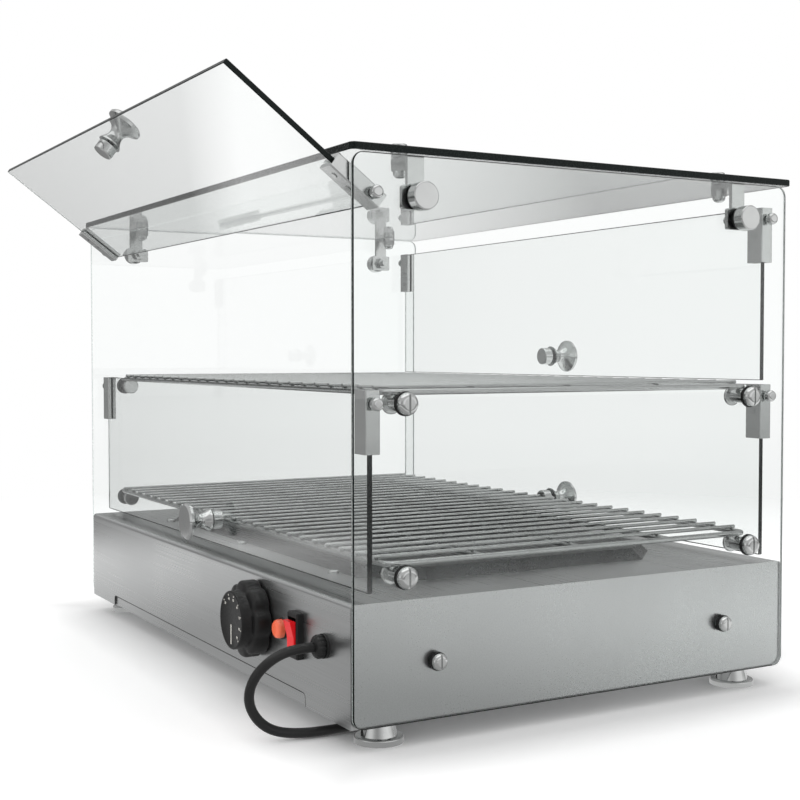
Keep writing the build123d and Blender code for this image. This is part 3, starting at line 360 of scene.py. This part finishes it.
def coil_points():
    """Two turns wound inwards on the floor, two outwards on top of them, and the rest inwards on those."""
    bulge = 1 / math.cos(math.pi / POINTS_PER_TURN)
    places = []
    for layer, (turns, start_radius, end_radius) in enumerate(COIL_WINDS):
        steps = round(turns * POINTS_PER_TURN)
        for step in range(1 if layer == 0 else 0, steps):
            share = step / steps
            angle = 2 * math.pi * step / POINTS_PER_TURN
            radius = bulge * (start_radius + (end_radius - start_radius) * share)
            climb = min(1.0, (step + 2) / CLIMB_STEPS) if layer else 1.0
            height = CABLE_DIAMETER / 2 + COIL_LAYER * max(0.0, layer - 1 + climb)
            places.append((radius * math.cos(angle), radius * math.sin(angle), height))
    top = places[-1][2]
    places.append((0.0, PLUG_SIDE, top))
    places.append((-PLUG_REACH[0], PLUG_SIDE, top - PLUG_DIP))
    places.append((-PLUG_REACH[1], PLUG_SIDE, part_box("power_plug")[0][2] + PLUG_AXIS))
    return [(COIL_CENTRE[0] + x, COIL_CENTRE[1] + y, z) for x, y, z in places]


def add_cable():
    data = bpy.data.curves.new("power_cable_run", "CURVE")
    data.dimensions = "3D"
    data.bevel_depth = CABLE_DIAMETER / 2
    data.bevel_resolution = 6
    data.resolution_u = 8
    data.use_fill_caps = True
    spline = data.splines.new("NURBS")
    points = CABLE_ROUTE + coil_points()
    spline.points.add(len(points) - 1)
    for point, place in zip(spline.points, points):
        point.co = (*place, 1)
    spline.order_u = 3
    spline.use_endpoint_u = True
    cable = bpy.data.objects.new("power_cable_run", data)
    cable.data.materials.append(materials["cable_rubber"])
    scene.collection.objects.link(cable)
    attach(cable, "case")
    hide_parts("power_cable", "cable_coil")


add_cable()


# ---- glass sheets: the CAD sheet with clear faces and a ground rim in painted shade or painted light ---
GLASS_SHEETS = [node for node in nodes if slot_of[node] == "clear_glass"]
AIR_GAP = 0.00015         # keeps each clear face off the metal that touches it
ARRIS_SPREAD = 0.0011     # widens the ground arris of the end glasses towards the middle of their rims
BACK_RIM = 0.168          # the rear corners and rim of the end glasses lie beyond this
FAR_RIM = 0.9 * cad_low[0]    # rims beyond this are at the far end
FACE_COSINE = 0.95        # a polygon nearer square to the sheet than this is part of a clear face
RIM_COSINE = 0.1          # and one under this is part of the flat rim
# DARK picks the rim's painted shade, PALE its painted light.
CLEAR, DARK, PALE = 0, 1, 2


def rim_painted_tone(node, polygon, across):
    """Painted shade for the roof and the flaps; painted light at the far end and on the near end's flat and
    rear rims.
    """
    if node == "roof_glass":
        return DARK
    if node == "end_glass_left" or polygon.center.x < FAR_RIM:
        return PALE
    if node == "end_glass_right" and polygon.center.y > BACK_RIM:
        return PALE
    return PALE if node == "end_glass_right" and across < RIM_COSINE else DARK


def add_glass_sheet(node):
    mesh = nodes[node].data.copy()
    mesh.name = node + "_sheet"
    mesh.materials.clear()
    for material in (materials["clear_glass"], painted_shade_edge, painted_light_edge):
        mesh.materials.append(material)
    normal = max(mesh.polygons, key=lambda polygon: polygon.area).normal.copy()
    for polygon in mesh.polygons:
        across = abs(polygon.normal.dot(normal))
        polygon.material_index = CLEAR if across > FACE_COSINE else rim_painted_tone(node, polygon, across)
    levels = [vertex.co.dot(normal) for vertex in mesh.vertices]
    middle = (min(levels) + max(levels)) / 2
    half = (max(levels) - min(levels)) / 2
    for vertex, level in zip(mesh.vertices, levels):
        on_rim = half - abs(level - middle) > AIR_GAP
        inward = ARRIS_SPREAD if on_rim and node.startswith("end_glass") else AIR_GAP
        vertex.co -= normal * math.copysign(inward, level - middle)
    new_piece(node + "_sheet", mesh, body_of_node[node], "clear_glass", [node])


for node in GLASS_SHEETS:
    add_glass_sheet(node)


# ---- turned pieces ------------------------------------------------------------------------------------
SHARP_ANGLE = 40.0        # faces that meet at more than this, in degrees, keep a crisp edge


def turned(name, profile, place, segments, shape):
    """A closed solid of revolution: (radius, depth) points turned about an axis that faces -Y from a place.

    shape(radius, angle) returns the radius at an angle, for lobes and ribs.
    """
    mesh = bpy.data.meshes.new(name)
    work = bmesh.new()
    rings = []
    for radius, depth in profile:
        ring = []
        for step in range(segments):
            angle = 2 * math.pi * step / segments
            reach = shape(radius, angle)
            x = place[0] + reach * math.cos(angle)
            z = place[2] + reach * math.sin(angle)
            ring.append(work.verts.new((x, place[1] - depth, z)))
        rings.append(ring)
    for ring, following in zip(rings, rings[1:]):
        for step in range(segments):
            after = (step + 1) % segments
            work.faces.new((ring[step], ring[after], following[after], following[step]))
    work.faces.new(reversed(rings[0]))
    work.faces.new(rings[-1])
    bmesh.ops.recalc_face_normals(work, faces=work.faces)
    work.to_mesh(mesh)
    work.free()
    mesh.shade_smooth()
    mesh.set_sharp_from_angle(angle=math.radians(SHARP_ANGLE))
    return mesh


def middle_of(node):
    """The middle of a node's box in X and Z, and its back face in Y."""
    low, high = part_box(node)
    return ((low[0] + high[0]) / 2, high[1], (low[2] + high[2]) / 2)


# ---- thermostat dial ----------------------------------------------------------------------------------
DIAL_LOBES = 8
DIAL_SEGMENTS = 24 * DIAL_LOBES
DIAL_FACE = 0.0205
DIAL_DEPTH = 0.0200
SKIRT_DEPTH = 0.0120
LOBE_DEPTH = 0.0020
FACE_SINK = 0.0004        # the dial's face lies this far under its rounded rim
NUMBERS = ("30", "40", "50", "60", "70", "80", "90")
NUMBER_HEIGHT = 0.0026
NUMBER_RADIUS = 0.0150
FIRST_TURN, TURN_STEP = -45, 30      # the numbers' places, in degrees clockwise from the top
POINTER = (0.0030, 0.0168, 0.0011)   # inner and outer radius, width
TICK = (0.0172, 0.0184, 0.0006)
MARK_RISE = 0.00025


def dial_shape(radius, angle):
    """Scalloped skirt: round lobes with soft hollows between them, and a plain round face."""
    if radius <= DIAL_FACE + 0.001:
        return radius
    hollow = (0.5 - 0.5 * math.cos(DIAL_LOBES * angle)) ** 3
    return radius - LOBE_DEPTH * hollow


def add_dial():
    low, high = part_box("thermostat_dial")
    place = middle_of("thermostat_dial")
    skirt = (high[0] - low[0]) / 2
    profile = [
        (skirt - 0.0012, 0.0), (skirt - 0.0004, 0.0004), (skirt, 0.0013), (skirt, SKIRT_DEPTH - 0.0020),
        (skirt - 0.0005, SKIRT_DEPTH - 0.0008), (skirt - 0.0016, SKIRT_DEPTH),
        (DIAL_FACE + 0.0030, SKIRT_DEPTH + 0.0004), (DIAL_FACE + 0.0005, SKIRT_DEPTH + 0.0010),
        (DIAL_FACE, SKIRT_DEPTH + 0.0020), (DIAL_FACE, DIAL_DEPTH - 0.0009),
        (DIAL_FACE - 0.0003, DIAL_DEPTH - 0.0003), (DIAL_FACE - 0.0010, DIAL_DEPTH),
        (DIAL_FACE - 0.0017, DIAL_DEPTH - 0.0001), (DIAL_FACE - 0.0021, DIAL_DEPTH - FACE_SINK),
        (0.0010, DIAL_DEPTH - FACE_SINK),
    ]
    mesh = turned("dial_knob", profile, place, DIAL_SEGMENTS, dial_shape)
    new_piece("dial_knob", mesh, "dial", "black_plastic", ["thermostat_dial"])
    add_dial_marks(place)


def add_bar(work, bar, turn, place, front):
    """A thin raised bar on the dial's face, turned clockwise from the top."""
    inner, outer, width = bar
    made = bmesh.ops.create_cube(work, size=1.0)["verts"]
    bmesh.ops.scale(work, vec=(width, 2 * MARK_RISE, outer - inner), verts=made)
    bmesh.ops.translate(work, vec=(0, 0, (inner + outer) / 2), verts=made)
    bmesh.ops.rotate(work, cent=(0, 0, 0), matrix=Matrix.Rotation(turn, 3, "Y"), verts=made)
    bmesh.ops.translate(work, vec=(place[0], front, place[2]), verts=made)


def add_number(work, text, turn, place, front):
    """A generic number that stands upright on the dial's face."""
    data = bpy.data.curves.new("number", "FONT")
    data.body = text
    data.size = NUMBER_HEIGHT
    data.extrude = 0.0001
    data.align_x = "CENTER"
    data.align_y = "CENTER"
    source = bpy.data.objects.new("number", data)
    mesh = bpy.data.meshes.new_from_object(source)
    first = len(work.verts)
    work.from_mesh(mesh)
    work.verts.ensure_lookup_table()
    made = work.verts[first:]
    bmesh.ops.rotate(work, cent=(0, 0, 0), matrix=Matrix.Rotation(math.radians(90), 3, "X"), verts=made)
    middle = (place[0] + NUMBER_RADIUS * math.sin(turn), front, place[2] + NUMBER_RADIUS * math.cos(turn))
    bmesh.ops.translate(work, vec=middle, verts=made)
    bpy.data.objects.remove(source)
    bpy.data.curves.remove(data)
    bpy.data.meshes.remove(mesh)


def add_dial_marks(place):
    """White pointer line, ticks and numbers, which turn with the dial."""
    front = place[1] - DIAL_DEPTH + FACE_SINK
    mesh = bpy.data.meshes.new("dial_marks")
    work = bmesh.new()
    add_bar(work, POINTER, math.pi, place, front)
    for index, number in enumerate(NUMBERS):
        turn = math.radians(FIRST_TURN + TURN_STEP * index)
        add_bar(work, TICK, turn, place, front)
        add_number(work, number, turn, place, front)
    work.to_mesh(mesh)
    work.free()
    new_piece("dial_marks", mesh, "dial", "white_ceramic")


add_dial()


# ---- cable gland nut: ribbed barrel, domed cap and a soft seal round the cable --------------------------
GLAND_RIBS = 14
GLAND_SEGMENTS = 12 * GLAND_RIBS
RIB_DEPTH = 0.0005
CAP_RADIUS = 0.0072       # the domed cap's foot
SEAL_GAP = 0.0001         # round the cable


def rib_shape(radius, angle):
    """Grip ribs on the barrel, and a plain round cap."""
    if radius < CAP_RADIUS - 0.0002:
        return radius
    return radius - RIB_DEPTH * (0.5 - 0.5 * math.cos(GLAND_RIBS * angle)) ** 2


def add_gland_nut():
    low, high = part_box("gland_nut")
    place = middle_of("gland_nut")
    outer = (high[0] - low[0]) / 2
    depth = high[1] - low[1]
    bore = CABLE_DIAMETER / 2 + SEAL_GAP
    profile = [
        (bore, 0.0), (outer - 0.0003, 0.0), (outer, 0.0004), (outer, depth - 0.0022),
        (CAP_RADIUS, depth - 0.0014), (0.0064, depth - 0.0007), (0.0054, depth - 0.0002), (0.0046, depth),
        (0.0044, depth - 0.0003), (0.0042, depth - 0.0003), (0.0040, depth), (bore, depth),
    ]
    mesh = turned("gland_cap", profile, place, GLAND_SEGMENTS, rib_shape)
    new_piece("gland_cap", mesh, "case", "black_plastic", ["gland_nut"])


add_gland_nut()


# ---- painted shadow line: a thin black strip along the cut edge of the front panel's long notch ---------
NOTCH_HALF = 0.2055
NOTCH_HEIGHT = 0.0090
NOTCH_CORNER = 0.0040
SHADOW_LINE_WIDTH = 0.0007
SHADOW_LINE_DEPTH = 0.0008
ARC_STEP = 15             # degrees between the points of a rounded corner


def notch_outline(inward):
    """X and Z round the notch, from its lower left end to its lower right end, set in by a distance."""
    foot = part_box("base_shell")[0][2]
    half = NOTCH_HALF - inward
    top = foot + NOTCH_HEIGHT - inward
    radius = NOTCH_CORNER - inward
    places = [(-half, foot)]
    for side, first, last in ((-1, 180, 90), (1, 90, 0)):
        for angle in range(first, last - 1, -ARC_STEP):
            turn = math.radians(angle)
            middle = side * (half - radius)
            places.append((middle + radius * math.cos(turn), top - radius + radius * math.sin(turn)))
    places.append((half, foot))
    return places


# Painted shadow: a black strip just inside the notch's edge stands for the shadow gap between the shell and
# the pan behind it.
def add_notch_shadow_line():
    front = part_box("base_shell")[0][1]
    back = front + SHADOW_LINE_DEPTH
    mesh = bpy.data.meshes.new("notch_shadow_line")
    work = bmesh.new()
    rings = []
    for inward, y in ((0.0, front), (SHADOW_LINE_WIDTH, front), (SHADOW_LINE_WIDTH, back), (0.0, back)):
        rings.append([work.verts.new((x, y, z)) for x, z in notch_outline(inward)])
    for ring, following in zip(rings, rings[1:] + rings[:1]):
        for step in range(len(ring) - 1):
            work.faces.new((ring[step], ring[step + 1], following[step + 1], following[step]))
    work.faces.new([ring[0] for ring in rings])
    work.faces.new([ring[-1] for ring in reversed(rings)])
    bmesh.ops.recalc_face_normals(work, faces=work.faces)
    work.to_mesh(mesh)
    work.free()
    new_piece("notch_shadow_line", mesh, "case", "black_rubber")


add_notch_shadow_line()


# ---- stage: a white floor and surroundings, which steel and glass mirror as a studio's greys ------------
FLOOR_HALF = 6.0
# Painted shade next to the case: the floor's glow is held back round the footprint and rises away from it.
FLOOR_GLOW = 0.27               # fills the floor's shade outside the case's own footprint
FLOOR_DEPTH = 0.18              # half of the footprint's depth
SHADE_START, SHADE_END = 0.004, 0.05      # from the footprint: full shade, and full glow
FADE_START, FADE_END = 0.5, 1.3           # from the middle: shaded floor, and white floor
MIRRORED_DARK = (0.18, -0.36, 0)          # the floor looks darkest round here in the steel
NEAR_LEVELS = (0.43, 1.04, 0.35, 0.76)    # low and high level, and the distances from there of each
BRIGHT_BEARING = (-0.94, 0.342, 0)        # the far floor looks brightest this way from the case
BEARING_LEVELS = (0.30, 0.90, 0.935, 0.995)   # and the cosines of the angle to it
SIDE_LEVELS = (0.30, 0.60, 1.6, 3.0)      # it brightens along +X too, between these distances
MIRRORED_FROM = (0.50, 0.30, 0)           # the far floor begins at some distance from here
FAR_START, FAR_END = 1.30, 1.48
SIDE_START, SIDE_END = 0.74, 0.92         # and at some X


def shaded_floor(shader, place, split):
    """White floor with real soft shadows from the case and a painted glow that rises only away from its
    footprint, so a painted shade lies deepest next to the case.
    """
    beyond = []
    for axis, reach in (("X", cad_high[0]), ("Y", FLOOR_DEPTH)):
        size = shader.maths("ABSOLUTE", split.outputs[axis])
        beyond.append(shader.maths("SUBTRACT", size, reach))
    gap = shader.maths("MAXIMUM", *beyond)
    shader.feed(shader.ramp(gap, 0.0, FLOOR_GLOW, SHADE_START, SHADE_END), "Emission Strength")
    distance = shader.vector_maths("LENGTH", place)
    seen = shader.node("ShaderNodeMixShader")
    shader.link(shader.ramp(distance, 0.0, 1.0, FADE_START, FADE_END), seen.inputs[0])
    shader.link(shader.bsdf.outputs[0], seen.inputs[1])
    shader.link(shader.node("ShaderNodeEmission").outputs[0], seen.inputs[2])
    return seen.outputs[0]


def mirrored_floor(shader, place, split):
    """The greys that the floor shows in steel and glass."""
    near = shader.ramp(shader.vector_maths("DISTANCE", place, MIRRORED_DARK), *NEAR_LEVELS)
    towards = shader.vector_maths("DOT_PRODUCT", shader.vector_maths("NORMALIZE", place), BRIGHT_BEARING)
    ahead = shader.ramp(towards, *BEARING_LEVELS)
    aside = shader.ramp(split.outputs["X"], *SIDE_LEVELS)
    far = shader.maths("MAXIMUM", ahead, aside)
    away = shader.ramp(shader.vector_maths("DISTANCE", place, MIRRORED_FROM), 0.0, 1.0, FAR_START, FAR_END)
    side = shader.ramp(split.outputs["X"], 0.0, 1.0, SIDE_START, SIDE_END)
    level = shader.node("ShaderNodeMix", data_type="FLOAT")
    shader.link(shader.maths("MAXIMUM", away, side), level.inputs[0])
    shader.link(near, level.inputs[NUMBER_A])
    shader.link(far, level.inputs[NUMBER_B])
    glow = shader.node("ShaderNodeEmission")
    shader.link(level.outputs[0], glow.inputs["Strength"])
    return glow.outputs[0]


def floor_material():
    shader = Shader("floor", Roughness=0.9, Specular_IOR_Level=0.0)
    shader.bsdf.inputs["Base Color"].default_value = (1, 1, 1, 1)
    shader.bsdf.inputs["Emission Color"].default_value = (1, 1, 1, 1)
    place = shader.place()
    split = shader.node("ShaderNodeSeparateXYZ")
    shader.link(place, split.inputs[0])
    choose = shader.node("ShaderNodeMixShader")
    shader.link(shader.mirrored_ray(), choose.inputs[0])
    shader.link(shaded_floor(shader, place, split), choose.inputs[1])
    shader.link(mirrored_floor(shader, place, split), choose.inputs[2])
    shader.link(choose.outputs[0], shader.tree.nodes["Material Output"].inputs["Surface"])
    return shader.material


def add_floor():
    mesh = bpy.data.meshes.new("floor")
    corners = [(x * FLOOR_HALF, y * FLOOR_HALF, 0) for x, y in ((-1, -1), (1, -1), (1, 1), (-1, 1))]
    mesh.from_pydata(corners, [], [(0, 1, 2, 3)])
    mesh.materials.append(floor_material())
    floor = bpy.data.objects.new("floor", mesh)
    scene.collection.objects.link(floor)


# What steel and glass mirror, by compass direction in degrees anticlockwise from +X.
STUDIO = (
    (0, 0.85), (29, 1.20), (50, 1.00), (75, 0.45), (100, 0.20), (130, 0.24), (150, 0.30), (175, 0.30),
    (192, 0.34), (209, 0.26), (235, 0.25), (260, 0.85), (285, 0.95), (305, 0.45), (325, 0.30), (345, 0.60),
    (360, 0.85),
)
SKY = (0.62, 0.18, 0.45)        # level above the horizon's band, and the heights where it begins and is full
SOFTBOX = (1.5, 0.74, 0.86)     # the same, straight above


def studio_ramp(world, direction):
    """The studio's grey for a direction's bearing."""
    bearing = world.maths("ARCTAN2", direction.outputs["Y"], direction.outputs["X"])
    turn = world.maths("DIVIDE", bearing, 2 * math.pi)
    ramp = world.node("ShaderNodeValToRGB")
    ramp.color_ramp.interpolation = "B_SPLINE"
    stops = ramp.color_ramp.elements
    for degrees, level in STUDIO[1:-1]:
        stops.new(degrees / 360)
    for stop, (degrees, level) in zip(stops, STUDIO):
        stop.color = (level, level, level, 1)
    world.link(world.maths("FLOORED_MODULO", turn, 1.0), ramp.inputs[0])
    return ramp.outputs[0]


def add_world():
    scene.world = bpy.data.worlds.new("studio")
    scene.world.use_nodes = True
    world = Nodes(scene.world.node_tree)
    coordinates = world.node("ShaderNodeTexCoord")
    direction = world.node("ShaderNodeSeparateXYZ")
    world.link(coordinates.outputs["Generated"], direction.inputs[0])
    mirrored = studio_ramp(world, direction)
    for level, start, end in (SKY, SOFTBOX):
        height = world.ramp(direction.outputs["Z"], 0.0, 1.0, start, end)
        mirrored = world.mix_colours(height, mirrored, (level, level, level, 1))
    background = world.tree.nodes["Background"]
    seen = world.mix_colours(world.mirrored_ray(), (1, 1, 1, 1), mirrored)
    world.link(seen, background.inputs["Color"])
    background.inputs["Strength"].default_value = 1.0


def set_looks():
    scene.view_settings.view_transform = "Standard"
    scene.cycles.use_denoising = True
    scene.cycles.max_bounces = 24
    scene.cycles.transmission_bounces = 24
    scene.cycles.glossy_bounces = 8
    scene.cycles.diffuse_bounces = 4
    scene.cycles.transparent_max_bounces = 12
    scene.cycles.sample_clamp_indirect = 6.0


add_floor()
add_world()
set_looks()
